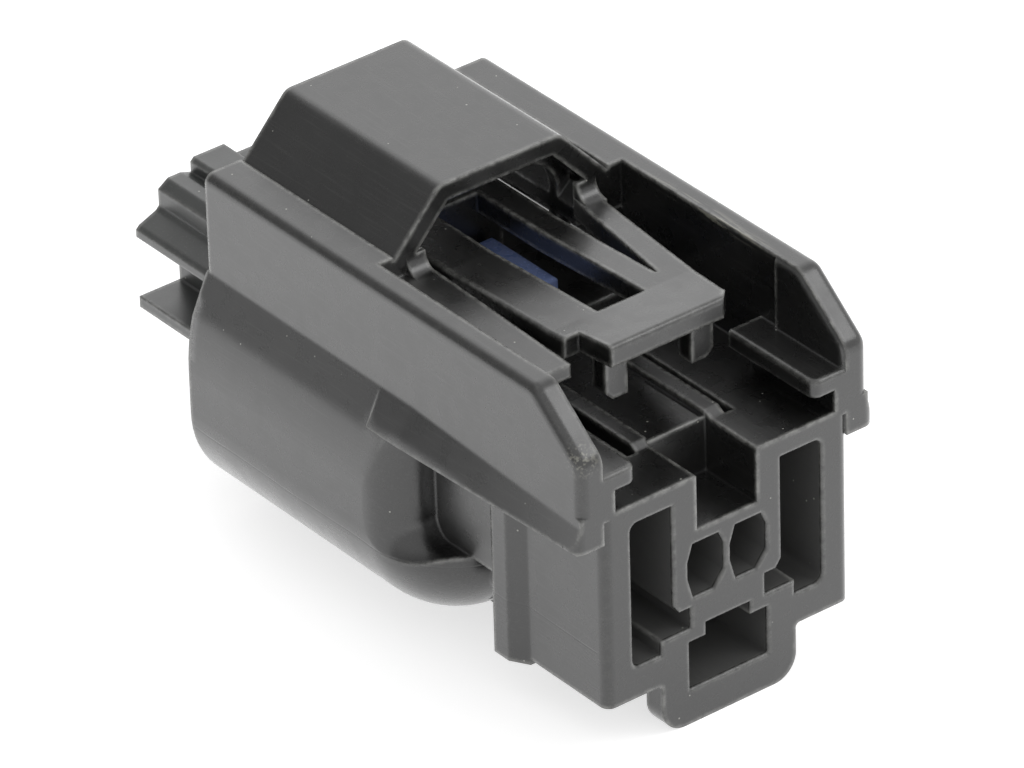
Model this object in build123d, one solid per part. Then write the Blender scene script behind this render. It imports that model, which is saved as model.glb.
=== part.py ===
# Rectangular plug connector housing, three pieces, millimetres, Z up.
# Y = 0 is the wire side face, +Y is the mating end, Z = 0 is the lowest point.
from build123d import *
import os

os.makedirs("parts", exist_ok=True)

# Overlap that joins two features of one moulding
MERGE = 0.3
# Length by which a cut runs past the face it opens
PAST = 1.0

# Wire side block, the rim round it and the keel below its face
BLOCK_HALF = 7.2
BLOCK_HEIGHT = 10.48
BLOCK_EDGE = 0.5
MOUTH_EDGE = 0.15
# Share of the thinnest wall between two openings that a round may take
MOUTH_SHARE = 0.4
BACK_WALL = 0.5
BACK_ROUND = 1.0
BACK_WAIST = 0.9
RIM_START = 5.6
RIM_LENGTH = 2.0
RIM_SLOPE = 0.95
RIM_PROUD = 0.55
RIM_DROP = 0.3
KEEL_HALF = 3.95
KEEL_LENGTH = 1.2
RAIL_START = 4.4
RAIL_HALF = 3.0
KEEL_DROP = 2.8
KEEL_ROUND = 1.3
KEEL_FILLET = 0.25
BLOCK_LOW = KEEL_DROP
BLOCK_TOP = BLOCK_LOW + BLOCK_HEIGHT

# Two tall terminal slots, each with a pocket at its foot
SLOT_WALL = 1.6
SLOT_WIDTH = 2.4
SLOT_FLOOR = 1.65
SLOT_ROOF = 1.08
SLOT_ROUND = 0.42
STEP_WIDTH = 0.75
STEP_RISE = 0.72
POCKET_WIDTH = 1.0
POCKET_HEIGHT = 1.11
SHOULDER_WIDTH = 0.35
SHOULDER_RISE = 0.47
SLOT_OUT = BLOCK_HALF - SLOT_WALL
SLOT_IN = SLOT_OUT - SLOT_WIDTH
SLOT_LOW = BLOCK_LOW + SLOT_FLOOR
SLOT_TOP = BLOCK_TOP - SLOT_ROOF

# Two small terminal cavities side by side
PITCH = 2.5
CAVITY_HALF = 1.05
CAVITY_HEIGHT = 2.85
CAVITY_RISE = 4.0
CAVITY_TOP_CUT = 0.3
CAVITY_SHOULDER = 0.65
CAVITY_TOE_WIDTH = 0.63
CAVITY_TOE_RISE = 0.8
CAVITY_HEEL_WIDTH = 0.3
CAVITY_HEEL_RISE = 1.1
CAVITY_BROW = 0.9
CAVITY_LOW = BLOCK_LOW + CAVITY_RISE
CAVITY_TOP = CAVITY_LOW + CAVITY_HEIGHT

# Low cavity behind the keel, with a keyway above it and its own tube
LOW_CAVITY_HALF = 2.3
LOW_CAVITY_LOW = 1.87
LOW_CAVITY_HEIGHT = 2.55
KEYWAY_HALF = 1.3
KEYWAY_HEIGHT = 0.7
TUBE_WALL = 0.7

# Notch in the top of the face, guide ribs and grooves behind it
NOTCH_HALF = 1.77
NOTCH_DEPTH = 3.65
NOTCH_WALL = 0.73
RIB_IN = 1.7
RIB_WIDTH = 0.9
RIB_RISE = 0.27
RIB_START = 3.3
RIB_SLOPE = 0.45
GROOVE_WIDTH = 0.5
GROOVE_DEPTH = 0.75
RIB_OUT = RIB_IN + RIB_WIDTH

# Guard wings, one at each side, and the skirt below each
WING_OUT = 8.42
WING_WALL = 1.3
WING_HEIGHT = 5.87
WING_EDGE = 0.5
WING_CORNER = 0.9
NOSE_RUN = 3.3
NOSE_DROP = 2.7
PANEL_DROP = 0.16
PANEL_RISE = 0.55
PAD_PROUD = 0.15
PAD_LENGTH = 4.9
PAD_EDGE = 0.4
SKIRT_PROUD = 0.4
SKIRT_DROP = 1.15
SKIRT_LIP = 0.2
SKIRT_ROUND = 0.9
WING_IN = WING_OUT - WING_WALL
WING_TOP = BLOCK_TOP + WING_HEIGHT
PANEL_NEAR = BLOCK_TOP - PANEL_DROP
PANEL_FAR = BLOCK_TOP + PANEL_RISE
SKIRT_LOW = PANEL_NEAR - SKIRT_DROP

# Web and shelf inside the front of each wing
WEB_IN = 6.45
SHELF_IN = 5.15
SHELF_RISE = 1.09
SHELF_THICK = 0.98
SHELF_LENGTH = 6.1
SHELF_CORNER = 0.5
SHELF_ROUND = 0.2

# Hood over the mating end
HOOD_HALF = 9.74
HOOD_LOW = 1.3
HOOD_ROUND = 5.15
HOOD_START = 9.15
HOOD_END = 28.0
HOOD_NOSE = 5.1
HOOD_WALL = 1.15
HOOD_FLOOR = 16.0
FLARE_IN = 0.37
FLARE_DROP = 2.09
FLARE_BEND = 2.84
STEP_Y = 12.4
STEP_Z = 6.3
STEP_CORNER = 1.1
STEP_ROLL = 2.3
ROOM_RISE = 2.2
WING_SHORT = 0.2
WING_END = HOOD_END - WING_SHORT
FLARE_OUT = HOOD_HALF - FLARE_IN

# Arch over the far half of the latch arm, and the pillars below its feet
ARCH_RISE = 2.75
ARCH_FLAT_HALF = 3.55
ARCH_BASE_HALF = 6.3
ARCH_FRONT = 16.2
ARCH_WALL = 0.95
ARCH_EDGE = 0.7
ARCH_FOOT = 0.25
PILLAR_IN = 4.44
PILLAR_LOW = 2.55
PILLAR_CUT = 0.76
FOOT_RADIUS = 0.85
FRAME_BACK = 1.45
FRAME_THICK = 0.7
FRAME_DROP = 1.0
FRAME_ROUND = 2.1
ARCH_TOP = WING_TOP + ARCH_RISE

# Latch arm, a flexible tongue with a press bar at its free end
ARM_DROP = 1.15
ARM_THICK = 1.1
ARM_GAP_HALF = 1.38
ARM_RIGHT_WIDTH = 1.44
ARM_LEFT_WIDTH = 2.52
ARM_LEFT_FLARE = 0.25
ARM_EDGE = 0.2
ARM_ROOT = 21.0
ROOT_LENGTH = 1.2
BAR_DROP = 0.35
BAR_FALL = 0.4
BAR_EDGE = 0.25
BAR_FRONT = 4.1
BAR_LENGTH = 3.34
BAR_LEFT = 3.25
BAR_RIGHT = 3.85
BAR_CORNER = 0.55
BAR_LAP = 1.0
BRACE_START = 0.8
BRACE_WIDTH = 1.12
LEG_IN = 1.87
LEG_WIDTH = 1.28
LEG_BACK = 0.6
LEG_LENGTH = 1.0
LEG_DROP = 3.25
LEG_CUT = 0.4
LEDGE_IN = 4.74
LEDGE_FLARE = 0.4
LEDGE_START = 5.2
LEDGE_THICK = 0.72
ARM_TOP = WING_TOP - ARM_DROP
BAR_TOP = WING_TOP - BAR_DROP
BAR_SLOT = BAR_FRONT + BAR_LENGTH

# Inner tower that carries the cavities to the mating end
TOWER_HALF = 5.9
TOWER_START = 13.2
TOWER_RECESS = 2.0
TOWER_RISE = 1.12
TOWER_LOW = 3.4
TOWER_EDGE = 0.7
TOWER_END = HOOD_END - TOWER_RECESS
TOWER_TOP = BLOCK_TOP + TOWER_RISE

# Front holder on the end of the tower
HOLDER_LENGTH = 9.2
HOLDER_SHORT = 2.4
HOLDER_NECK = 4.9
HOLDER_NECK_LOW = 8.6
HOLDER_FLANGE = 7.3
HOLDER_FLANGE_DROP = 2.7
HOLDER_FLANGE_THICK = 1.0
HOLDER_SHOULDER = 5.9
HOLDER_RAIL_IN = 1.75
HOLDER_RAIL_OUT = 3.95
HOLDER_RAIL_RISE = 0.55
HOLDER_CUT = 0.2
HOLDER_PLATE_THICK = 0.6
HOLDER_LOW_HALF = 5.6
HOLDER_LOW_ROUND = 0.6
PIN_WAY_HALF = 0.6
BLADE_WAY_HALF = 0.45
BLADE_WAY_WALL = 0.55
LOW_WAY_HALF = 1.7
LOW_WAY_HEIGHT = 1.0

# Lock piece under the latch arm, with its stem in a pocket of the tower
LOCK_HALF = 1.95
LOCK_LENGTH = 4.9
LOCK_START = 14.6
LOCK_THICK = 1.15
LOCK_EDGE = 0.2
LOCK_GAP = 0.08
STEM_INSET_X = 0.5
STEM_INSET_Y = 0.8
STEM_DEPTH = 1.5


def box(x0, x1, y0, y1, z0, z1):
    """A box from its limits."""
    mid = ((x0 + x1) / 2, (y0 + y1) / 2, (z0 + z1) / 2)
    return Pos(*mid) * Box(x1 - x0, y1 - y0, z1 - z0)


def along_x(points, x0, x1):
    """A closed outline of Y and Z pairs, drawn out along X."""
    face = make_face(Polyline([(0, y, z) for y, z in points], close=True))
    return Pos(x0, 0, 0) * extrude(face, amount=x1 - x0, dir=(1, 0, 0))


def along_y(points, y0, y1):
    """A closed outline of X and Z pairs, drawn out along Y."""
    face = make_face(Polyline([(x, 0, z) for x, z in points], close=True))
    return Pos(0, y0, 0) * extrude(face, amount=y1 - y0, dir=(0, 1, 0))


def along_z(points, z0, z1):
    """A closed outline of X and Y pairs, drawn out along Z."""
    face = make_face(Polyline([(x, y, 0) for x, y in points], close=True))
    return Pos(0, 0, z0) * extrude(face, amount=z1 - z0, dir=(0, 0, 1))


def both(shape):
    """The shape with its mirror image across the middle plane."""
    return shape + mirror(shape, about=Plane.YZ)


def near(shape, x=None, y=None, z=None, tol=0.02):
    """Edges that lie at the given X distance, Y and Z."""
    def at(edge):
        mid = edge.center(CenterOf.BOUNDING_BOX)
        size = edge.bounding_box().size
        keep = True
        if x is not None:
            keep = keep and abs(abs(mid.X) - x) < tol and size.X < tol
        if y is not None:
            keep = keep and abs(mid.Y - y) < tol and size.Y < tol
        if z is not None:
            keep = keep and abs(mid.Z - z) < tol and size.Z < tol
        return keep
    return shape.edges().filter_by(at)


# Wire side block
def rim():
    """Band round the block that stops the mating part."""
    end = RIM_START + RIM_LENGTH
    side = BLOCK_HALF + RIM_PROUD
    half = [(BLOCK_HALF, RIM_START), (side, RIM_START + RIM_SLOPE), (side, end)]
    other = [(-x, y) for x, y in reversed(half)]
    return along_z(half + other, BLOCK_LOW - RIM_DROP, PANEL_NEAR)


def tube():
    """Tube that carries the low cavity back into the hood."""
    half = LOW_CAVITY_HALF + TUBE_WALL
    low = LOW_CAVITY_LOW - TUBE_WALL
    return box(-half, half, BLOCK_EDGE, HOOD_FLOOR, low, SLOT_LOW)


def keel():
    """Round cornered front of the keel, flush with the wire side face."""
    body = box(-KEEL_HALF, KEEL_HALF, 0, KEEL_LENGTH, 0, BLOCK_LOW + MERGE)
    return fillet(near(body, x=KEEL_HALF, z=0), KEEL_ROUND)


def rail():
    """Square edged rest of the keel, which the part stands on."""
    return box(-RAIL_HALF, RAIL_HALF, RAIL_START, HOOD_END, 0, BLOCK_LOW + MERGE)


def block_back():
    """Block behind the rim, with a narrower waist below the hood's step."""
    start = RIM_START + RIM_LENGTH - MERGE
    low = SLOT_LOW - BACK_WALL
    half = BLOCK_HALF - BACK_WAIST
    upper = box(-BLOCK_HALF, BLOCK_HALF, start, HOOD_FLOOR, STEP_Z, BLOCK_TOP)
    waist = box(-half, half, start, HOOD_FLOOR, low, STEP_Z + MERGE)
    return upper + fillet(near(waist, x=half, z=low), BACK_ROUND)


def block():
    rim_end = RIM_START + RIM_LENGTH
    body = box(-BLOCK_HALF, BLOCK_HALF, 0, rim_end, BLOCK_LOW, BLOCK_TOP)
    body = fillet(near(body, x=BLOCK_HALF, y=0), BLOCK_EDGE)
    body = body + keel()
    body = fillet(near(body, x=KEEL_HALF, z=BLOCK_LOW), KEEL_FILLET)
    return body + rail() + block_back() + rim() + tube()


def guide_rib():
    """Rib beside the notch with a sloped front end."""
    top = BLOCK_TOP + RIB_RISE
    foot = BLOCK_TOP - MERGE
    outline = [
        (RIB_START, foot), (RIB_START, BLOCK_TOP), (RIB_START + RIB_SLOPE, top),
        (TOWER_START + MERGE, top), (TOWER_START + MERGE, foot),
    ]
    return along_x(outline, RIB_IN, RIB_OUT)


def groove():
    end = TOWER_START + MERGE
    floor = BLOCK_TOP - GROOVE_DEPTH
    top = BLOCK_TOP + RIB_RISE
    return box(RIB_OUT, RIB_OUT + GROOVE_WIDTH, RIB_START, end, floor, top)


def notch():
    floor = CAVITY_TOP + NOTCH_WALL
    return box(-NOTCH_HALF, NOTCH_HALF, -PAST, NOTCH_DEPTH, floor, TOWER_TOP)


# Hood
def hood_outline(half, low, round_, top_half, top):
    """Section of the hood, open flare above and round corners below."""
    out = half - FLARE_IN
    knee = PANEL_FAR - FLARE_DROP
    bend = knee - FLARE_BEND
    turn = low + round_
    flare = Line((top_half, 0, top), (out, 0, knee))
    shoulder = TangentArc((half, 0, bend), (out, 0, knee), tangent=(0, 0, 1))
    side = Line((half, 0, bend), (half, 0, turn))
    corner = TangentArc((half, 0, turn), (half - round_, 0, low), tangent=(0, 0, -1))
    right = [flare, shoulder, side, corner]
    left = [edge.mirror(Plane.YZ) for edge in right]
    floor = Line((half - round_, 0, low), (round_ - half, 0, low))
    lid = Line((-top_half, 0, top), (top_half, 0, top))
    return make_face(right + [floor] + left + [lid])


def hood_nose():
    """Plain block with a ball nose, the outer limit of the hood's front."""
    body = box(-HOOD_HALF, HOOD_HALF, HOOD_START, HOOD_END, HOOD_LOW, WING_TOP)
    body = fillet(near(body, x=HOOD_HALF, z=HOOD_LOW), HOOD_ROUND)
    front = body.faces().sort_by(Axis.Y)[0]
    ring = front.edges().filter_by(lambda e: e.center().Z < WING_TOP - MERGE)
    return fillet(ring, HOOD_NOSE)


def hood_step():
    """Outer limit of the hood where its sides step in above the nose."""
    corner = STEP_CORNER
    low = HOOD_LOW - PAST
    front = HOOD_START - PAST
    edges = [
        Line((0, front, low), (0, HOOD_END, low)),
        Line((0, HOOD_END, low), (0, HOOD_END, WING_TOP)),
        Line((0, HOOD_END, WING_TOP), (0, STEP_Y, WING_TOP)),
        Line((0, STEP_Y, WING_TOP), (0, STEP_Y, STEP_Z + corner)),
        TangentArc((0, STEP_Y, STEP_Z + corner), (0, STEP_Y - corner, STEP_Z), tangent=(0, 0, -1)),
        Line((0, STEP_Y - corner, STEP_Z), (0, front, STEP_Z)),
        Line((0, front, STEP_Z), (0, front, low)),
    ]
    body = extrude(make_face(edges), amount=2 * HOOD_HALF, dir=(1, 0, 0))
    body = Pos(-HOOD_HALF, 0, 0) * body
    rolled = near(body, x=HOOD_HALF).filter_by(on_step)
    return fillet(rolled, STEP_ROLL)


def on_step(edge):
    """True for an edge of the step, upright, round or level."""
    mid = edge.center()
    inside = HOOD_START - PAST / 2 < mid.Y < STEP_Y + MERGE
    return inside and STEP_Z - MERGE < mid.Z < WING_TOP - MERGE


def hood():
    face = hood_outline(HOOD_HALF, HOOD_LOW, HOOD_ROUND, WING_OUT, PANEL_FAR)
    length = HOOD_END - HOOD_START
    full = Pos(0, HOOD_START, 0) * extrude(face, amount=length, dir=(0, 1, 0))
    return full & hood_nose() & hood_step()


def hood_room():
    """Open room of the hood between its wall and the inner tower."""
    half = HOOD_HALF - HOOD_WALL
    low = HOOD_LOW + HOOD_WALL
    face = hood_outline(half, low, HOOD_ROUND - HOOD_WALL, WING_IN, PANEL_FAR)
    depth = HOOD_END - HOOD_FLOOR + PAST
    room = Pos(0, HOOD_FLOOR, 0) * extrude(face, amount=depth, dir=(0, 1, 0))
    top = TOWER_TOP + ROOM_RISE
    upper = box(-WING_IN, WING_IN, HOOD_FLOOR, HOOD_FLOOR + depth, PANEL_FAR - PAST, top)
    return room + upper


# Guard wings
def wing_plate(x0, x1, end):
    """Upright plate with a sloped nose, up to the given end."""
    foot = PANEL_NEAR - PAST
    outline = [
        (0, foot), (0, WING_TOP - NOSE_DROP), (NOSE_RUN, WING_TOP),
        (end, WING_TOP), (end, foot),
    ]
    plate = along_x(outline, x0, x1)
    plate = fillet(near(plate, y=NOSE_RUN, z=WING_TOP), WING_CORNER)
    return fillet(near(plate, y=0, z=WING_TOP - NOSE_DROP), WING_CORNER)


def long_edges(plate, x, end):
    """Edges of a wing plate's side that run over its nose and top."""
    edges = near(plate, x=x).filter_by(lambda e: e.center().Z > PANEL_NEAR - PAST + MERGE)
    return edges.filter_by(lambda e: e.center().Y < end - MERGE)


def wing():
    """Side plate, thicker on the inside of its nose."""
    plate = wing_plate(WING_IN, WING_OUT, WING_END)
    plate = fillet(long_edges(plate, WING_OUT, WING_END), WING_EDGE)
    pad = wing_plate(WING_IN - PAD_PROUD, WING_OUT - WING_EDGE, PAD_LENGTH)
    return plate + fillet(long_edges(pad, WING_IN - PAD_PROUD, PAD_LENGTH), PAD_EDGE)


def skirt_section(panel, out, y):
    """Section of the skirt below a panel edge at one place along Y."""
    low = SKIRT_LOW
    points = [
        (WING_IN, panel + SHOULDER_RISE), (WING_OUT, panel + SHOULDER_RISE), (WING_OUT, panel),
        (out, low), (out - SKIRT_LIP, low - SKIRT_LIP), (WING_IN, low - SKIRT_LIP),
    ]
    return make_face(Polyline([(x, y, z) for x, z in points], close=True))


def skirt():
    near_out = WING_OUT + SKIRT_PROUD
    near_face = skirt_section(PANEL_NEAR, near_out, 0)
    step_face = skirt_section(PANEL_FAR, FLARE_OUT, STEP_Y)
    far_face = skirt_section(PANEL_FAR, FLARE_OUT, STEP_Y + STEP_ROLL)
    body = loft([near_face, step_face], ruled=True)
    body = body + loft([step_face, far_face], ruled=True)
    front = box(0, near_out, 0, SKIRT_ROUND, 0, WING_TOP)
    front = fillet(near(front, x=near_out, y=0), SKIRT_ROUND - MERGE)
    return body & (front + box(0, FLARE_OUT, SKIRT_ROUND, WING_END, 0, WING_TOP))


def channel():
    """Web and shelf inside the front of one wing."""
    low = BLOCK_TOP + SHELF_RISE
    top = low + SHELF_THICK
    web = box(WEB_IN, WING_IN + MERGE, 0, SHELF_LENGTH, BLOCK_TOP - MERGE, low + MERGE)
    shelf = box(SHELF_IN, WING_IN + MERGE, 0, SHELF_LENGTH, low, top)
    shelf = fillet(near(shelf, x=SHELF_IN, y=0), SHELF_CORNER)
    bare = shelf.edges().filter_by(lambda e: e.center().X < WING_IN)
    bare = bare.filter_by(lambda e: e.center().Y < SHELF_LENGTH - MERGE)
    return web + fillet(bare, SHELF_ROUND)


# Arch over the far half of the latch arm
def arch_section():
    foot = WING_TOP - ARCH_FOOT
    under = foot - ARCH_WALL
    wall = ARCH_WALL / 2
    half = [
        (ARCH_FLAT_HALF, ARCH_TOP), (ARCH_BASE_HALF, foot), (WING_IN + MERGE, foot),
        (WING_IN + MERGE, under), (ARCH_BASE_HALF - wall, under),
        (ARCH_FLAT_HALF - wall, ARCH_TOP - ARCH_WALL),
    ]
    return half + [(-x, z) for x, z in reversed(half)]


def foot_fillet():
    """Hollow round between the front of a pillar and what meets it."""
    radius = FOOT_RADIUS
    start = ARCH_FRONT - radius
    end = ARCH_FRONT + MERGE
    top = ARM_TOP + radius
    low = ARM_TOP - MERGE
    edges = [
        TangentArc((0, start, ARM_TOP), (0, ARCH_FRONT, top), tangent=(0, 1, 0)),
        Line((0, ARCH_FRONT, top), (0, end, top)), Line((0, end, top), (0, end, low)),
        Line((0, end, low), (0, start, low)), Line((0, start, low), (0, start, ARM_TOP)),
    ]
    body = extrude(make_face(edges), amount=BRACE_WIDTH, dir=(1, 0, 0))
    return Pos(PILLAR_IN, 0, 0) * body


def arch_frame():
    """Frame inside the arch with a round cornered opening."""
    start = ARCH_FRONT + FRAME_BACK
    end = start + FRAME_THICK
    roof = ARCH_TOP - ARCH_WALL
    top = roof - FRAME_DROP
    low = top - 2 * FRAME_ROUND
    half = PILLAR_IN + PILLAR_CUT
    foot = WING_TOP - ARCH_FOOT
    under = along_y([
        (-ARCH_FLAT_HALF, roof + MERGE), (ARCH_FLAT_HALF, roof + MERGE), (ARCH_BASE_HALF, foot),
        (ARCH_BASE_HALF, low), (-ARCH_BASE_HALF, low), (-ARCH_BASE_HALF, foot),
    ], start, end)
    way = box(-PILLAR_IN, PILLAR_IN, start - PAST, end + PAST, low - PAST, top)
    way = fillet(near(way, x=PILLAR_IN, z=top), FRAME_ROUND)
    return (box(-half, half, start, end, low, roof + MERGE) & under) - way


def pillar():
    """Post below one foot of the arch."""
    top = WING_TOP - ARCH_WALL
    low = BLOCK_TOP + PILLAR_LOW + PILLAR_CUT
    post = [
        (PILLAR_IN, low), (PILLAR_IN, top - PILLAR_CUT), (PILLAR_IN + PILLAR_CUT, top),
        (WING_IN + MERGE, top), (WING_IN + MERGE, low),
    ]
    return along_y(post, ARCH_FRONT, WING_END) + foot_fillet()


def arch():
    roof = along_y(arch_section(), ARCH_FRONT, WING_END)
    crown = roof.edges().filter_by(Axis.Y)
    crown = crown.filter_by(lambda e: abs(e.center().Z - ARCH_TOP) < MERGE)
    roof = fillet(crown, ARCH_EDGE)
    under = WING_TOP - ARCH_WALL
    foot = box(ARCH_BASE_HALF, WING_IN + MERGE, ARCH_FRONT, WING_END, under, WING_TOP)
    return roof + both(foot) + both(pillar()) + arch_frame()


# Latch arm, moulded in one with the housing
def arm_plan(points):
    """A tall prism from X and Y pairs, which the arm's sheet is cut with."""
    return along_z(points, TOWER_TOP, ARCH_TOP)


def arm_sheet():
    """Side outline of the arm, a thick sheet bent a little upward at the bar."""
    bend = ARCH_FRONT - PAST
    slot_top = BAR_TOP - BAR_FALL
    upper = [
        (BAR_FRONT, BAR_TOP), (BAR_SLOT, slot_top), (bend, ARM_TOP), (ARM_ROOT, ARM_TOP),
    ]
    lower = [(y, z - ARM_THICK) for y, z in reversed(upper)]
    return along_x(upper + lower, -WING_IN, WING_IN)


def arm_bar():
    end = BAR_SLOT + BAR_LAP
    return arm_plan([
        (-BAR_LEFT, BAR_FRONT), (BAR_RIGHT - BAR_CORNER, BAR_FRONT),
        (BAR_RIGHT, BAR_FRONT + BAR_CORNER), (BAR_RIGHT, end),
        (-BAR_LEFT, end),
    ]) - arm_plan([
        (-ARM_GAP_HALF, BAR_SLOT), (ARM_GAP_HALF, BAR_SLOT),
        (ARM_GAP_HALF, end + PAST), (-ARM_GAP_HALF, end + PAST),
    ])


def arm_beams():
    """The wide left beam and the narrow right one."""
    left = ARM_GAP_HALF + ARM_LEFT_WIDTH
    right = ARM_GAP_HALF + ARM_RIGHT_WIDTH
    start = BAR_SLOT - PAST
    wide = arm_plan([
        (-left - ARM_LEFT_FLARE, start), (-ARM_GAP_HALF, start),
        (-ARM_GAP_HALF, ARM_ROOT), (-left, ARM_ROOT),
    ])
    narrow = arm_plan([
        (ARM_GAP_HALF, start), (right, start), (right, ARM_ROOT), (ARM_GAP_HALF, ARM_ROOT),
    ])
    return wide + narrow


def arm_brace():
    """Slanted brace from the bar to the right pillar."""
    end = ARCH_FRONT + MERGE
    start = BAR_FRONT + BRACE_START
    return arm_plan([
        (BAR_RIGHT - BRACE_WIDTH, BAR_SLOT), (BAR_RIGHT, start),
        (PILLAR_IN + BRACE_WIDTH, end), (PILLAR_IN, end),
    ])


def latch_arm():
    cut = arm_bar() + arm_beams() + arm_brace()
    arm = arm_sheet() & cut
    outer = arm.edges().filter_by(lambda e: e.length > BAR_LENGTH and e.center().X < -BAR_LEFT)
    upper = outer.filter_by(lambda e: e.center().Z > ARM_TOP - ARM_EDGE)
    arm = fillet(upper, ARM_EDGE)
    arm = fillet(near(arm, y=BAR_FRONT, z=BAR_TOP), BAR_EDGE)
    start = BAR_FRONT + LEG_BACK
    low = BAR_TOP - LEG_DROP
    leg = box(LEG_IN, LEG_IN + LEG_WIDTH, start, start + LEG_LENGTH, low, BAR_TOP - ARM_THICK)
    leg = chamfer(near(leg, x=LEG_IN + LEG_WIDTH, z=low), LEG_CUT)
    left = -ARM_GAP_HALF - ARM_LEFT_WIDTH
    right = ARM_GAP_HALF + ARM_RIGHT_WIDTH
    root = box(left, right, ARM_ROOT - ROOT_LENGTH, ARM_ROOT, TOWER_TOP - MERGE, ARM_TOP)
    return arm + both(leg) + root


def arm_ledge():
    """Ledge on the left wing beside the arm."""
    end = ARCH_FRONT + MERGE
    plan = [
        (-WING_IN - MERGE, LEDGE_START), (-LEDGE_IN, LEDGE_START),
        (LEDGE_FLARE - LEDGE_IN, end), (-WING_IN - MERGE, end),
    ]
    return along_z(plan, ARM_TOP - LEDGE_THICK, ARM_TOP)


# Inner tower and the cavities through it
def tower():
    body = box(-TOWER_HALF, TOWER_HALF, TOWER_START, TOWER_END, TOWER_LOW, TOWER_TOP)
    low = near(body, x=TOWER_HALF, z=TOWER_LOW)
    return fillet(low + near(body, x=TOWER_HALF, z=TOWER_TOP), TOWER_EDGE)


def tall_slot(y0, y1):
    """Right hand tall slot with the pocket at its foot."""
    step = SLOT_LOW + STEP_RISE
    pocket = step + POCKET_HEIGHT
    slot = along_y([
        (SLOT_OUT, SLOT_LOW), (SLOT_IN + STEP_WIDTH, SLOT_LOW), (SLOT_IN + STEP_WIDTH, step),
        (SLOT_IN - POCKET_WIDTH, step), (SLOT_IN - POCKET_WIDTH, pocket),
        (SLOT_IN - SHOULDER_WIDTH, pocket), (SLOT_IN, pocket + SHOULDER_RISE),
        (SLOT_IN, SLOT_TOP), (SLOT_OUT, SLOT_TOP),
    ], y0, y1)
    return fillet(near(slot, x=SLOT_OUT), SLOT_ROUND)


def small_cavity(centre, y0, y1):
    half = CAVITY_HALF
    outline = [
        (CAVITY_TOP_CUT - half, CAVITY_TOP), (half - CAVITY_TOP_CUT, CAVITY_TOP),
        (half, CAVITY_TOP - CAVITY_SHOULDER), (half, CAVITY_LOW + CAVITY_TOE_RISE),
        (half - CAVITY_TOE_WIDTH, CAVITY_LOW), (CAVITY_HEEL_WIDTH - half, CAVITY_LOW),
        (-half, CAVITY_LOW + CAVITY_HEEL_RISE), (-half, CAVITY_TOP - CAVITY_BROW),
    ]
    return along_y([(centre + x, z) for x, z in outline], y0, y1)


def low_cavity(y0, y1):
    top = LOW_CAVITY_LOW + LOW_CAVITY_HEIGHT
    lower = box(-LOW_CAVITY_HALF, LOW_CAVITY_HALF, y0, y1, LOW_CAVITY_LOW, top)
    return lower + box(-KEYWAY_HALF, KEYWAY_HALF, y0, y1, LOW_CAVITY_LOW, top + KEYWAY_HEIGHT)


def cavities(y0, y1):
    pair = small_cavity(-PITCH / 2, y0, y1) + small_cavity(PITCH / 2, y0, y1)
    return both(tall_slot(y0, y1)) + pair + low_cavity(y0, y1)


def lock_stem(gap):
    """Stem of the lock, or its pocket where the gap is nothing."""
    half = LOCK_HALF - STEM_INSET_X - gap
    start = LOCK_START + STEM_INSET_Y + gap
    end = LOCK_START + LOCK_LENGTH - STEM_INSET_Y - gap
    return box(-half, half, start, end, TOWER_TOP - STEM_DEPTH + gap, TOWER_TOP)


def wire_side_face(body):
    """The flat face at Y = 0 that the cavities open through."""
    flat = body.faces().filter_by(lambda f: f.bounding_box().max.Y < MOUTH_EDGE / 2)
    return flat.sort_by(lambda f: f.area)[-1]


def mouth_round():
    """Round of the openings, limited by the thinnest wall between two of them."""
    wall = min(SLOT_IN - PITCH / 2 - CAVITY_HALF, PITCH - 2 * CAVITY_HALF)
    return min(MOUTH_EDGE, MOUTH_SHARE * wall)


def soften_mouths(body):
    """Small rounds on the edges of the openings in the wire side face."""
    for count in range(len(wire_side_face(body).inner_wires())):
        mouths = wire_side_face(body).inner_wires().sort_by(Axis.X)
        body = fillet(mouths[count].edges(), mouth_round())
    return body


def housing():
    body = block() + hood()
    body = body + both(wing() + skirt())
    body = body - hood_room()
    body = body + tower() + arch() + both(channel())
    body = body + latch_arm() + arm_ledge()
    body = body + both(guide_rib()) - both(groove()) - notch()
    body = body - cavities(-PAST, TOWER_END + PAST) - lock_stem(0)
    return soften_mouths(body)


# Stepped front holder on the end of the tower
def holder_section():
    """Stepped upper outline of the holder, from the neck to the rail."""
    cut = HOLDER_CUT
    flange_top = TOWER_TOP - HOLDER_FLANGE_DROP + HOLDER_FLANGE_THICK
    flange_low = flange_top - HOLDER_FLANGE_THICK
    rail = TOWER_TOP + HOLDER_RAIL_RISE
    half = [
        (HOLDER_NECK, HOLDER_NECK_LOW), (HOLDER_NECK, flange_low),
        (HOLDER_FLANGE - cut, flange_low), (HOLDER_FLANGE, flange_low + cut),
        (HOLDER_FLANGE, flange_top - 2 * cut), (HOLDER_FLANGE - cut, flange_top - cut),
        (HOLDER_SHOULDER + cut, flange_top + cut), (HOLDER_SHOULDER, flange_top + 2 * cut),
        (HOLDER_SHOULDER, TOWER_TOP - 2 * cut), (HOLDER_SHOULDER - 3 * cut, TOWER_TOP),
        (HOLDER_RAIL_OUT + 3 * cut, TOWER_TOP), (HOLDER_RAIL_OUT, TOWER_TOP - cut),
        (HOLDER_RAIL_OUT, rail - cut), (HOLDER_RAIL_OUT - cut, rail),
        (HOLDER_RAIL_IN + cut, rail), (HOLDER_RAIL_IN, rail - cut),
        (HOLDER_RAIL_IN, TOWER_TOP - cut),
    ]
    return half + [(-x, z) for x, z in reversed(half)]


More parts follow.
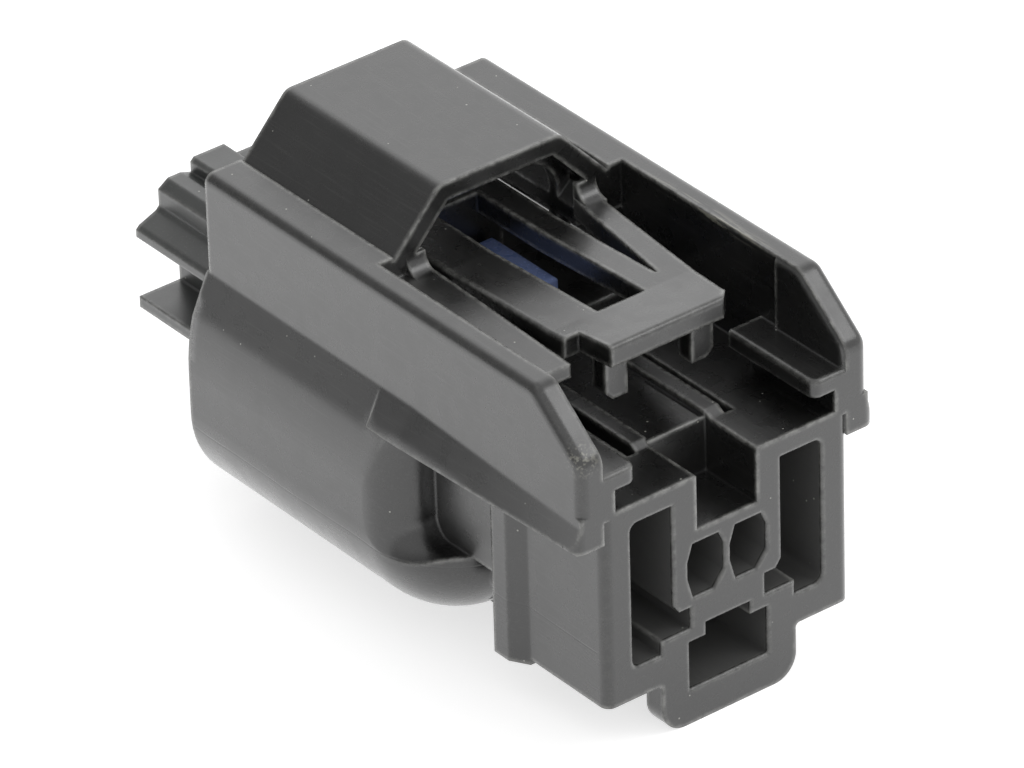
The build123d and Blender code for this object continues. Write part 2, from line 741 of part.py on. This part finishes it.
def holder_ways():
    """Openings of the holder in line with the cavities behind it."""
    start = TOWER_END - PAST
    end = TOWER_END + HOLDER_LENGTH + PAST
    blade = SLOT_IN + BLADE_WAY_WALL
    pin_low = CAVITY_LOW + CAVITY_TOE_RISE
    pin = box(
        PITCH / 2 - PIN_WAY_HALF, PITCH / 2 + PIN_WAY_HALF, start, end,
        pin_low, pin_low + 2 * PIN_WAY_HALF,
    )
    tall = box(
        blade - BLADE_WAY_HALF, blade + BLADE_WAY_HALF, start, end,
        SLOT_LOW + SHOULDER_RISE, SLOT_TOP - STEP_RISE,
    )
    low_top = LOW_CAVITY_LOW + LOW_CAVITY_HEIGHT + SHOULDER_RISE
    low = box(-LOW_WAY_HALF, LOW_WAY_HALF, start, end, low_top - LOW_WAY_HEIGHT, low_top)
    return both(pin) + both(tall) + low


def front_holder():
    end = TOWER_END + HOLDER_LENGTH
    body = along_y(holder_section(), TOWER_END, end)
    plate_low = HOLDER_NECK_LOW - HOLDER_PLATE_THICK
    plate = box(-HOLDER_FLANGE, HOLDER_FLANGE, TOWER_END, end, plate_low, HOLDER_NECK_LOW)
    half = HOLDER_LOW_HALF
    low = box(-half, half, TOWER_END, end - HOLDER_SHORT, TOWER_LOW, plate_low)
    low = fillet(near(low, x=half, z=TOWER_LOW), HOLDER_LOW_ROUND)
    return body + plate + low - holder_ways()


# Lock piece
def lock():
    end = LOCK_START + LOCK_LENGTH
    top = box(-LOCK_HALF, LOCK_HALF, LOCK_START, end, TOWER_TOP, TOWER_TOP + LOCK_THICK)
    top = fillet(near(top, z=TOWER_TOP + LOCK_THICK), LOCK_EDGE)
    return top + lock_stem(LOCK_GAP)


export_step(housing(), "parts/housing.step")
export_step(front_holder(), "parts/front_holder.step")
export_step(lock(), "parts/lock.step")
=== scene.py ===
import math

import bpy
from mathutils import Matrix, Vector

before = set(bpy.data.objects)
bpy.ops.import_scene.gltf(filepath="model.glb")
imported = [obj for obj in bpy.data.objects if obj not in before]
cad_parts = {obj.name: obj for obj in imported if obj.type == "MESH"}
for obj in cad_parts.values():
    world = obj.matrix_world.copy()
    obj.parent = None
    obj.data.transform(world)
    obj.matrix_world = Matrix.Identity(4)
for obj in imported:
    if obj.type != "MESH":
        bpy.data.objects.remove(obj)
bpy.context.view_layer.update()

MM = 0.001

# Camera, fitted to the photograph: direction, distance, roll and the point it looks at
CAMERA_AZIMUTH = math.radians(-37.45)
CAMERA_ELEVATION = math.radians(32.2)
CAMERA_ROLL = math.radians(-1.74)
CAMERA_DISTANCE = 441 * MM
CAMERA_TARGET = Vector((-5.627, 8.437, 15.753)) * MM
PIXELS_PER_MM = 22.0
IMAGE_WIDTH = 1024
SENSOR_WIDTH = 36.0
CLIP_START = 0.01

# White floor
FLOOR_HALF = 3.0
FLOOR_COLOUR = 0.76
FLOOR_FILL = 0.66

# Pale surroundings, darker behind on the left as the photograph's reflections show
WORLD_PALE = 0.90
WORLD_DARK = 0.37
DARK_SIDE = Vector((-0.70, 0.62, 0.28)).normalized()
DARK_START = 0.50
DARK_FULL = 0.88

# Soft lamps
BACK_DIRECTION = Vector((0.52, 0.67, 0.56))
BACK_DISTANCE = 0.90
BACK_SIZE = 0.70
BACK_POWER = 0.62
FRONT_DIRECTION = Vector((0.51, -0.45, 0.72))
FRONT_DISTANCE = 0.80
FRONT_SIZE = 0.32
FRONT_POWER = 0.85

# Plastics, each with its colour, its paler cloud, its roughness and its gloss coat
BLACK = (0.0060, 0.0060, 0.0058)
BLACK_PALE = (0.0120, 0.0120, 0.0115)
BLACK_ROUGHNESS = 0.27
BLACK_COAT = 1.0
GREY = (0.026, 0.028, 0.027)
GREY_PALE = (0.040, 0.043, 0.041)
GREY_ROUGHNESS = 0.34
GREY_COAT = 0.9
BLUE = (0.200, 0.270, 0.560)
BLUE_PALE = (0.260, 0.340, 0.640)
BLUE_ROUGHNESS = 0.25
BLUE_COAT = 0.6
COAT_IOR = 1.5

# Clouds and specks of the colour
CLOUD_SIZE = 3.5 * MM
CLOUD_STOPS = ((0.35, 0.0), (0.68, 1.0))
GRAIN_SIZE = 0.11 * MM
SPECK_STOPS = ((0.62, 0.0), (0.72, 0.6))
SPECK_PALER = 2.4

# Dust, as points in cells of which a share has one
DUST = (0.42, 0.42, 0.38)
DUST_SPACING = 0.62 * MM
DUST_STOPS = ((0.050, 1.0), (0.085, 0.0))
BLACK_DUST = 0.20
GREY_DUST = 0.10

# Gloss and relief of the skin
GLOSS_SIZE = 1.1 * MM
GLOSS_FROM = 0.3
GLOSS_TO = 0.7
GLOSS_FINER = 0.04
GLOSS_COARSER = 0.08
RELIEF_STRENGTH = 0.25
RELIEF_DEPTH = 0.012 * MM

# Paler outer edges, partly wear and partly painted highlight, and their rounding
WORN_AND_HIGHLIGHT = (0.260, 0.260, 0.246)
WORN_AND_HIGHLIGHT_SIZE = 0.5 * MM
WORN_AND_HIGHLIGHT_STOPS = ((0.38, 0.35), (0.60, 1.0))
EDGE_REACH = 0.26 * MM
EDGE_STOPS = ((0.60, 1.0), (0.92, 0.0))
EDGE_SAMPLES = 4
EDGE_GLOSS = 0.12
EDGE_RADIUS = 0.22 * MM
BEVEL_SAMPLES = 6

# Wide rounding of the fold under each wing, and the region that it lies in
FOLD_RADIUS = 0.90 * MM
FOLD_OUT = 8.0 * MM
FOLD_LOW = 9.5 * MM
FOLD_FULL = 12.2 * MM
FOLD_TOP = 12.9 * MM
FOLD_START = 6.0 * MM
FOLD_END = 15.0 * MM

# Knocked and scratched places in mm, each with its reach and its stretch along the part
SCUFF = (0.260, 0.255, 0.215)
SCUFFS = (
    (Vector((-8.10, 0.20, 16.75)), 1.3 * MM, 1),
    (Vector((7.20, 9.50, 19.10)), 0.55 * MM, 12),
)
SCUFF_CORE = 0.2
SCUFF_ON_FLAT = 0.55
SCUFF_HEIGHT = 1.5
GRIT_SIZE = 0.16 * MM
GRIT_STOPS = ((0.50, 0.0), (0.62, 1.0))

# Duller skin of the cavities with painted light that makes them paler, more so deep in, and the
# region of the part that they lie in
INSIDE_PAINTED_LIGHT = (0.180, 0.180, 0.176)
INSIDE_AT_MOUTH = 0.4
INSIDE_DULL = 0.85
INSIDE_ROUGHER = 0.5
INSIDE_HALF = 5.65 * MM
INSIDE_TOP = 12.25 * MM
INSIDE_LOW = 1.85 * MM
INSIDE_START = 0.2 * MM
INSIDE_DEEP = 9.0 * MM
NOTCH_LOW = 9.5 * MM
NOTCH_HALF = 2.65 * MM
KEEL_TOP = 2.85 * MM
KEEL_INSIDE_HALF = 2.4 * MM

# Parting line round the lower sides, which sways a little
PARTING = (0.004, 0.004, 0.004)
PARTING_TINT = 0.85
PARTING_DEPTH = 2.5
PARTING_HEIGHT = 5.75 * MM
PARTING_HALF = 0.07 * MM
SWAY_SIZE = 6 * MM
SWAY_REACH = 0.5 * MM
SIDE_REACH = 5.4 * MM
FACE_REACH = 0.6 * MM

# Fine lines drawn along the part, deeper below the parting line
STREAK = (0.034, 0.034, 0.033)
STREAK_STOPS = ((0.55, 0.0), (0.75, 0.5))
DRAWN_SIZE = 0.12 * MM
DRAWN_STRETCH = (1.0, 0.04, 1.0)
DRAWN_LOW = 1.6
DRAWN_ALL = 0.15

# Sockets of the Mix node, which have the same names for each kind of data
MIX_VECTORS = (4, 5)
MIX_VECTOR_OUT = 1
MIX_COLOURS = (6, 7)
MIX_COLOUR_OUT = 2


# Node helpers, in which a source is a (node, output) pair
def add(tree, kind, inputs=None, **settings):
    """A node with its own settings, and its constant inputs by name."""
    node = tree.nodes.new(kind)
    for name, value in settings.items():
        setattr(node, name, value)
    for name, value in (inputs or {}).items():
        node.inputs[name].default_value = value
    return node


def join(tree, source, target, socket):
    node, output = source
    tree.links.new(node.outputs[output], target.inputs[socket])


def calculate(tree, operation, first, second=None):
    """Math node on sources or plain numbers."""
    node = add(tree, "ShaderNodeMath", operation=operation)
    for socket, value in enumerate((first, second)):
        if isinstance(value, tuple):
            join(tree, value, node, socket)
        elif value is not None:
            node.inputs[socket].default_value = value
    return (node, "Value")


def product(tree, first, *others):
    """Product of sources or plain numbers."""
    for other in others:
        first = calculate(tree, "MULTIPLY", first, other)
    return first


def total(tree, first, second):
    return calculate(tree, "ADD", first, second)


def rest(tree, source):
    """1 less the source."""
    return calculate(tree, "SUBTRACT", 1.0, source)


def more(tree, source, level):
    """1 above the level, else 0."""
    return calculate(tree, "GREATER_THAN", source, level)


def less(tree, source, level):
    """1 below the level, else 0."""
    return calculate(tree, "LESS_THAN", source, level)


def between(tree, source, low, high):
    """1 where the source lies between the two, else 0."""
    return product(tree, more(tree, source, low), less(tree, source, high))


def span(tree, source, low, high):
    """Rises smoothly from 0 at low to 1 at high."""
    node = add(
        tree, "ShaderNodeMapRange", interpolation_type="SMOOTHSTEP",
        inputs={"From Min": low, "From Max": high},
    )
    join(tree, source, node, "Value")
    return (node, "Result")


def ramp(tree, source, stops):
    """A colour ramp with two (position, grey value) stops."""
    node = add(tree, "ShaderNodeValToRGB")
    for element, (position, value) in zip(node.color_ramp.elements, stops):
        element.position = position
        element.color = (value, value, value, 1)
    join(tree, source, node, "Fac")
    return (node, "Color")


def noise(tree, place, size, detail):
    """Noise whose features are about the given size in metres."""
    node = add(tree, "ShaderNodeTexNoise", inputs={"Scale": 1 / size, "Detail": detail})
    join(tree, place, node, "Vector")
    return (node, "Fac")


def vector_maths(tree, operation, source, value, output):
    """Vector math node on a source and a plain vector."""
    node = add(tree, "ShaderNodeVectorMath", operation=operation, inputs={1: value})
    join(tree, source, node, 0)
    return (node, output)


def axes(tree, place):
    """X, Y and Z of the place."""
    node = add(tree, "ShaderNodeSeparateXYZ")
    join(tree, place, node, "Vector")
    return [(node, axis) for axis in "XYZ"]


def blend_colour(tree, factor, low, high):
    """Mix of two colours, each a plain colour or a source."""
    node = add(tree, "ShaderNodeMix", data_type="RGBA")
    join(tree, factor, node, 0)
    for socket, value in zip(MIX_COLOURS, (low, high)):
        if len(value) == 2:
            join(tree, value, node, socket)
        else:
            node.inputs[socket].default_value = (*value, 1)
    return (node, MIX_COLOUR_OUT)


def bevel(tree, radius):
    """Normal with the edges rounded to the radius."""
    node = add(tree, "ShaderNodeBevel", samples=BEVEL_SAMPLES, inputs={"Radius": radius})
    return (node, "Normal")


class Plastic:
    """Moulded plastic with cloudy colour, specks, edges paled by wear and painted highlight, and
    a fine skin.
    """

    def __init__(self, name, colour, pale, roughness, coat):
        self.material = bpy.data.materials.new(name)
        self.material.use_nodes = True
        self.tree = self.material.node_tree
        self.shader = self.tree.nodes["Principled BSDF"]
        self.shader.inputs["Coat Weight"].default_value = coat
        self.shader.inputs["Coat Roughness"].default_value = roughness
        self.shader.inputs["Coat IOR"].default_value = COAT_IOR
        self.roughness = roughness
        self.coat = coat
        self.place = (add(self.tree, "ShaderNodeTexCoord"), "Object")
        self.height = noise(self.tree, self.place, GRAIN_SIZE, 3)
        self.colour = self.cloudy(colour, pale)
        self.edge = self.edges()
        self.normal = bevel(self.tree, EDGE_RADIUS)
        self.dull = None

    def cloudy(self, colour, pale):
        """Slow change of the colour over the surface, with pale specks from the grain."""
        tree = self.tree
        cloud = ramp(tree, noise(tree, self.place, CLOUD_SIZE, 4), CLOUD_STOPS)
        body = blend_colour(tree, cloud, colour, pale)
        speck = ramp(tree, self.height, SPECK_STOPS)
        return blend_colour(tree, speck, body, tuple(SPECK_PALER * part for part in pale))

    def edges(self):
        """Rises to 1 at outer edges, where the far side of the piece is near."""
        near = add(
            self.tree, "ShaderNodeAmbientOcclusion", samples=EDGE_SAMPLES, inside=True,
            only_local=True, inputs={"Distance": EDGE_REACH},
        )
        return ramp(self.tree, (near, "AO"), EDGE_STOPS)

    def tint(self, amount, colour):
        """Turns the colour towards another one."""
        self.colour = blend_colour(self.tree, amount, self.colour, colour)

    def raise_by(self, amount):
        self.height = total(self.tree, self.height, amount)

    def wear_and_highlight(self, colour):
        """Paler edges, partly wear and partly painted highlight, broken up by noise."""
        patch = ramp(self.tree, noise(self.tree, self.place, WORN_AND_HIGHLIGHT_SIZE, 4), WORN_AND_HIGHLIGHT_STOPS)
        self.tint(product(self.tree, self.edge, patch), colour)

    def dust(self, share):
        """A few tiny bright points."""
        tree = self.tree
        cells = add(tree, "ShaderNodeTexVoronoi", inputs={"Scale": 1 / DUST_SPACING})
        join(tree, self.place, cells, "Vector")
        dot = ramp(tree, (cells, "Distance"), DUST_STOPS)
        draw = add(tree, "ShaderNodeSeparateColor")
        join(tree, (cells, "Color"), draw, "Color")
        self.tint(product(tree, dot, less(tree, (draw, "Red"), share)), DUST)

    def gloss(self):
        """Roughness that drifts, finer on the edges and coarser where the skin is dull."""
        tree = self.tree
        drift = add(
            tree, "ShaderNodeMapRange",
            inputs={
                "From Min": GLOSS_FROM, "From Max": GLOSS_TO,
                "To Min": self.roughness - GLOSS_FINER, "To Max": self.roughness + GLOSS_COARSER,
            },
        )
        join(tree, noise(tree, self.place, GLOSS_SIZE, 3), drift, "Value")
        finer = product(tree, self.edge, EDGE_GLOSS)
        rough = calculate(tree, "SUBTRACT", (drift, "Result"), finer)
        if self.dull:
            rough = total(tree, rough, product(tree, self.dull, INSIDE_ROUGHER))
        return rough

    def finish(self):
        """Joins colour, gloss and relief to the shader."""
        tree = self.tree
        relief = add(
            tree, "ShaderNodeBump",
            inputs={"Strength": RELIEF_STRENGTH, "Distance": RELIEF_DEPTH},
        )
        join(tree, self.height, relief, "Height")
        join(tree, self.normal, relief, "Normal")
        join(tree, self.colour, self.shader, "Base Color")
        join(tree, self.gloss(), self.shader, "Roughness")
        for socket in ("Normal", "Coat Normal"):
            join(tree, (relief, "Normal"), self.shader, socket)
        if self.dull:
            coat = product(tree, rest(tree, self.dull), self.coat)
            join(tree, coat, self.shader, "Coat Weight")
        return self.material


def tooling_marks(plastic):
    """Parting line round the lower sides, and fine drawn lines, stronger below it."""
    tree = plastic.tree
    x, y, z = axes(tree, plastic.place)
    side = more(tree, calculate(tree, "ABSOLUTE", x), SIDE_REACH)
    outside = product(tree, side, more(tree, y, FACE_REACH))
    sway = product(tree, noise(tree, plastic.place, SWAY_SIZE, 1), SWAY_REACH)
    level = calculate(tree, "SUBTRACT", z, PARTING_HEIGHT - SWAY_REACH / 2)
    level = calculate(tree, "SUBTRACT", level, sway)
    away = span(tree, calculate(tree, "ABSOLUTE", level), 0.0, PARTING_HALF)
    line = product(tree, rest(tree, away), outside)
    below = product(tree, less(tree, level, 0.0), outside)
    along = vector_maths(tree, "MULTIPLY", plastic.place, DRAWN_STRETCH, "Vector")
    drawn = noise(tree, along, DRAWN_SIZE, 3)
    plastic.tint(ramp(tree, drawn, STREAK_STOPS), STREAK)
    plastic.tint(product(tree, line, PARTING_TINT), PARTING)
    plastic.raise_by(product(tree, line, -PARTING_DEPTH))
    strength = total(tree, product(tree, below, DRAWN_LOW), DRAWN_ALL)
    plastic.raise_by(product(tree, drawn, strength))


def cavity_skin_and_painted_light(plastic):
    """Duller skin in the cavities, with painted light that makes them paler, more so deep in."""
    tree = plastic.tree
    x, y, z = axes(tree, plastic.place)
    off = calculate(tree, "ABSOLUTE", x)
    notch = product(tree, less(tree, off, NOTCH_HALF), more(tree, z, NOTCH_LOW))
    block = product(tree, less(tree, off, INSIDE_HALF), between(tree, z, KEEL_TOP, INSIDE_TOP))
    keel = product(
        tree, less(tree, off, KEEL_INSIDE_HALF), between(tree, z, INSIDE_LOW, INSIDE_TOP))
    inside = product(
        tree, calculate(tree, "MAXIMUM", block, keel), more(tree, y, INSIDE_START),
        rest(tree, notch),
    )
    deeper = product(tree, span(tree, y, INSIDE_START, INSIDE_DEEP), 1 - INSIDE_AT_MOUTH)
    # Painted light: the cavities turn paler, more so deep in
    plastic.tint(product(tree, inside, total(tree, deeper, INSIDE_AT_MOUTH)), INSIDE_PAINTED_LIGHT)
    plastic.dull = product(tree, inside, INSIDE_DULL)


def soft_fold(plastic):
    """Wide rounding at the far end of the fold under each wing."""
    tree = plastic.tree
    x, y, z = axes(tree, plastic.place)
    amount = product(
        tree, more(tree, calculate(tree, "ABSOLUTE", x), FOLD_OUT),
        rest(tree, span(tree, z, FOLD_FULL, FOLD_TOP)), more(tree, z, FOLD_LOW),
        span(tree, y, FOLD_START, FOLD_END),
    )
    mix = add(tree, "ShaderNodeMix", data_type="VECTOR")
    join(tree, amount, mix, 0)
    for socket, normal in zip(MIX_VECTORS, (plastic.normal, bevel(tree, FOLD_RADIUS))):
        join(tree, normal, mix, socket)
    plastic.normal = (mix, MIX_VECTOR_OUT)


def scuff(plastic, centre, reach, length):
    """Rough pale patch where an edge was knocked, or scratched along the part."""
    tree = plastic.tree
    place = vector_maths(tree, "MULTIPLY", plastic.place, (1, 1 / length, 1), "Vector")
    middle = Vector((centre.x, centre.y / length, centre.z)) * MM
    away = vector_maths(tree, "DISTANCE", place, middle, "Value")
    near = rest(tree, span(tree, away, SCUFF_CORE * reach, reach))
    grit = ramp(tree, noise(tree, place, GRIT_SIZE, 4), GRIT_STOPS)
    amount = product(tree, near, grit, total(tree, plastic.edge, SCUFF_ON_FLAT))
    plastic.tint(amount, SCUFF)
    plastic.raise_by(product(tree, amount, SCUFF_HEIGHT))


def dress(node, material):
    """Gives a node of the frame its finish."""
    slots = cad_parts[node].data.materials
    slots.clear()
    slots.append(material)


def finishes():
    black = Plastic("black_plastic", BLACK, BLACK_PALE, BLACK_ROUGHNESS, BLACK_COAT)
    tooling_marks(black)
    # Painted light in the cavities, and their duller skin
    cavity_skin_and_painted_light(black)
    soft_fold(black)
    # Edges paled by wear and by a painted highlight
    black.wear_and_highlight(WORN_AND_HIGHLIGHT)
    for centre, reach, length in SCUFFS:
        scuff(black, centre, reach, length)
    black.dust(BLACK_DUST)
    grey = Plastic("grey_plastic", GREY, GREY_PALE, GREY_ROUGHNESS, GREY_COAT)
    # Edges paled by wear and by a painted highlight
    grey.wear_and_highlight(WORN_AND_HIGHLIGHT)
    grey.dust(GREY_DUST)
    blue = Plastic("blue_plastic", BLUE, BLUE_PALE, BLUE_ROUGHNESS, BLUE_COAT)
    # Edges paled by wear and by a painted highlight
    blue.wear_and_highlight(BLUE_PALE)
    dress("housing", black.finish())
    dress("front_holder", grey.finish())
    dress("lock", blue.finish())


# Studio
def floor_white():
    """White material that keeps the object's shadow."""
    material = bpy.data.materials.new("floor_white")
    material.use_nodes = True
    tree = material.node_tree
    tree.nodes.clear()
    colour = (FLOOR_COLOUR, FLOOR_COLOUR, FLOOR_COLOUR, 1)
    matt = add(tree, "ShaderNodeBsdfDiffuse", inputs={"Color": colour})
    glow = add(tree, "ShaderNodeEmission")
    ray = add(tree, "ShaderNodeLightPath")
    seen = calculate(tree, "MAXIMUM", (ray, "Is Camera Ray"), (ray, "Is Glossy Ray"))
    seen = calculate(tree, "MAXIMUM", seen, (ray, "Is Transmission Ray"))
    join(tree, product(tree, seen, FLOOR_FILL), glow, "Strength")
    both = add(tree, "ShaderNodeAddShader")
    join(tree, (matt, "BSDF"), both, 0)
    join(tree, (glow, "Emission"), both, 1)
    end = add(tree, "ShaderNodeOutputMaterial")
    join(tree, (both, "Shader"), end, "Surface")
    return material


def floor():
    mesh = bpy.data.meshes.new("floor")
    half = FLOOR_HALF
    corners = [(-half, -half, 0), (half, -half, 0), (half, half, 0), (-half, half, 0)]
    mesh.from_pydata(corners, [], [(0, 1, 2, 3)])
    mesh.materials.append(floor_white())
    obj = bpy.data.objects.new("floor", mesh)
    bpy.context.collection.objects.link(obj)


def softbox(name, direction, distance, size, power):
    """Square area light that faces the object from the given direction."""
    light = bpy.data.lights.new(name, "AREA")
    light.shape = "SQUARE"
    light.size = size
    light.energy = power
    obj = bpy.data.objects.new(name, light)
    way = direction.normalized()
    obj.location = CAMERA_TARGET + way * distance
    obj.rotation_euler = way.to_track_quat("Z", "Y").to_euler()
    bpy.context.collection.objects.link(obj)


def surroundings():
    """Pale world with its dark side."""
    world = bpy.data.worlds.new("studio")
    world.use_nodes = True
    tree = world.node_tree
    way = (add(tree, "ShaderNodeTexCoord"), "Generated")
    turn = vector_maths(tree, "DOT_PRODUCT", way, DARK_SIDE, "Value")
    tone = ramp(tree, turn, ((DARK_START, WORLD_PALE), (DARK_FULL, WORLD_DARK)))
    join(tree, tone, tree.nodes["Background"], "Color")
    bpy.context.scene.world = world


def studio():
    floor()
    softbox("back_lamp", BACK_DIRECTION, BACK_DISTANCE, BACK_SIZE, BACK_POWER)
    softbox("front_lamp", FRONT_DIRECTION, FRONT_DISTANCE, FRONT_SIZE, FRONT_POWER)
    surroundings()
    bpy.context.scene.view_settings.view_transform = "Standard"


def camera():
    """Camera at the photograph's place, turned and rolled as there."""
    az, el = CAMERA_AZIMUTH, CAMERA_ELEVATION
    back = Vector((math.sin(az) * math.cos(el), -math.cos(az) * math.cos(el), math.sin(el)))
    level = Vector((math.cos(az), math.sin(az), 0))
    rise = back.cross(level)
    right = math.cos(CAMERA_ROLL) * level + math.sin(CAMERA_ROLL) * rise
    up = back.cross(right)
    data = bpy.data.cameras.new("camera")
    data.sensor_width = SENSOR_WIDTH
    data.lens = SENSOR_WIDTH * PIXELS_PER_MM * (CAMERA_DISTANCE / MM) / IMAGE_WIDTH
    data.clip_start = CLIP_START
    obj = bpy.data.objects.new("camera", data)
    turn = Matrix((right, up, back)).transposed().to_4x4()
    obj.matrix_world = Matrix.Translation(CAMERA_TARGET + back * CAMERA_DISTANCE) @ turn
    bpy.context.collection.objects.link(obj)
    bpy.context.scene.camera = obj


camera()
finishes()
studio()
